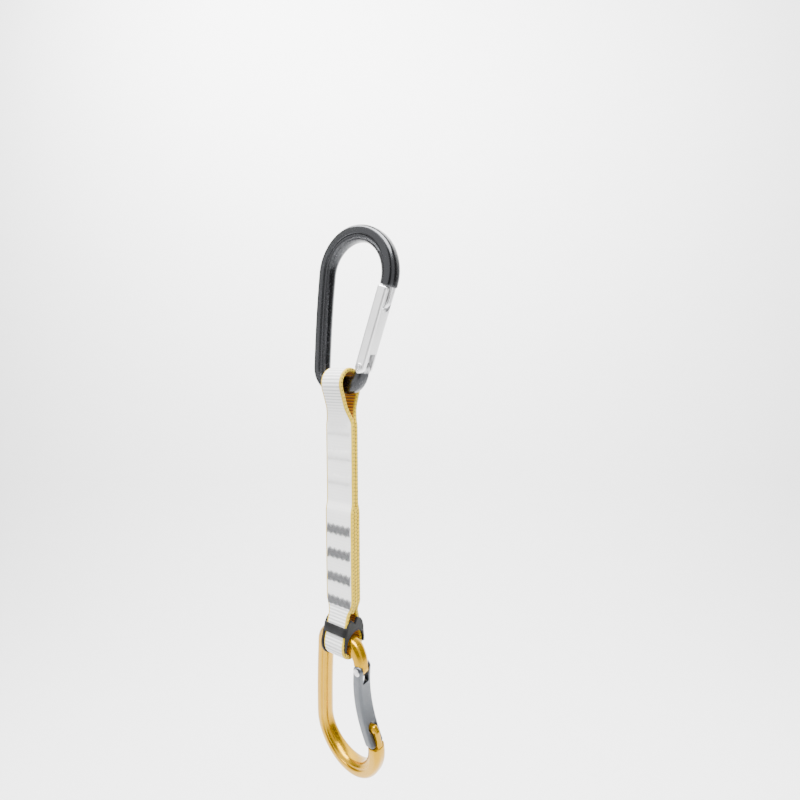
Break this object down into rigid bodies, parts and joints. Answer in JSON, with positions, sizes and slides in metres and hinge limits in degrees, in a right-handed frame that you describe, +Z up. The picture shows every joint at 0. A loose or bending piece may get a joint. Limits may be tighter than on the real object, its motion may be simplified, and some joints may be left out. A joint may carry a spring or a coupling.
{
  "type": "climbing quickdraw",
  "caption": "Two snap-gate carabiners joined by a sewn tape sling with a rubber keeper, to link a rope to a bolt hanger.",
  "frame": {"origin": "the seat inside the top of the upper carabiner, where a bolt hanger bears", "axes": "+Z up along the hanging quickdraw, +X from the carabiners' spines to their gates, Y across the carabiners"},
  "size_m": [0.0705, 0.0238, 0.3445],
  "materials": {
    "graphite_anodised": "glossy dark anodised",
    "gold_anodised": "glossy gold anodised",
    "satin_gate": "satin",
    "grey_gate": "satin grey anodised",
    "rivet_steel": "satin",
    "spring_steel": "bright",
    "sling_webbing": "ribbed woven tape with yellow edges",
    "grey_thread": "dense zigzag stitching",
    "white_thread": "dense zigzag stitching",
    "keeper_rubber": "matt moulded"
  },
  "bodies": {
    "upper_carabiner": {"upper_body": "graphite_anodised"},
    "upper_gate": {"upper_gate": "satin_gate", "upper_rivet": "rivet_steel", "upper_spring": "spring_steel"},
    "upper_plunger": {"upper_plunger": "spring_steel"},
    "sling": {"sling_tape": "sling_webbing", "grey_tack_1": "grey_thread", "grey_tack_2": "grey_thread", "grey_tack_3": "grey_thread", "grey_tack_4": "grey_thread", "white_tack_1": "white_thread", "white_tack_2": "white_thread", "white_tack_3": "white_thread", "rubber_keeper": "keeper_rubber"},
    "lower_carabiner": {"lower_body": "gold_anodised"},
    "lower_gate": {"lower_gate": "grey_gate", "lower_rivet": "rivet_steel", "lower_spring": "spring_steel"},
    "lower_plunger": {"lower_plunger": "spring_steel"}
  },
  "joints": [
    {"name": "upper_gate_hinge", "type": "hinge", "parent": "upper_carabiner", "child": "upper_gate", "pos_m": [0.00431, 0, -0.07208], "axis": [0, -1, 0], "range_deg": [0, 30], "stiffness_Nm_per_rad": 0.4, "springref_deg": -28.65},
    {"name": "upper_plunger_slide", "type": "slide", "parent": "upper_gate", "child": "upper_plunger", "axis": [0.3502, 0, 0.9367], "range_m": [0, 0.0009], "deforming": ["upper_spring"]},
    {"name": "sling_swing", "type": "hinge", "parent": "upper_carabiner", "child": "sling", "pos_m": [-0.01324, 0, -0.08203], "axis": [1, 0, 0], "range_deg": [-90, 90]},
    {"name": "lower_carabiner_swing", "type": "hinge", "parent": "sling", "child": "lower_carabiner", "pos_m": [-0.01324, 0, -0.24223], "axis": [1, 0, 0], "range_deg": [-35, 25]},
    {"name": "lower_gate_hinge", "type": "hinge", "parent": "lower_carabiner", "child": "lower_gate", "pos_m": [0.00167, -0.00037, -0.25582], "axis": [0.1041, 0.9907, 0.0872], "range_deg": [0, 35], "stiffness_Nm_per_rad": 0.4, "springref_deg": -28.65},
    {"name": "lower_plunger_slide", "type": "slide", "parent": "lower_gate", "child": "lower_plunger", "axis": [-0.0689, 0.0946, -0.9931], "range_m": [0, 0.001], "deforming": ["lower_spring"]}
  ],
  "couplings": [
    {"joint": "upper_plunger_slide", "follows": "upper_gate_hinge", "m_per_rad": 0.0016},
    {"joint": "lower_plunger_slide", "follows": "lower_gate_hinge", "m_per_rad": 0.0016}
  ]
}
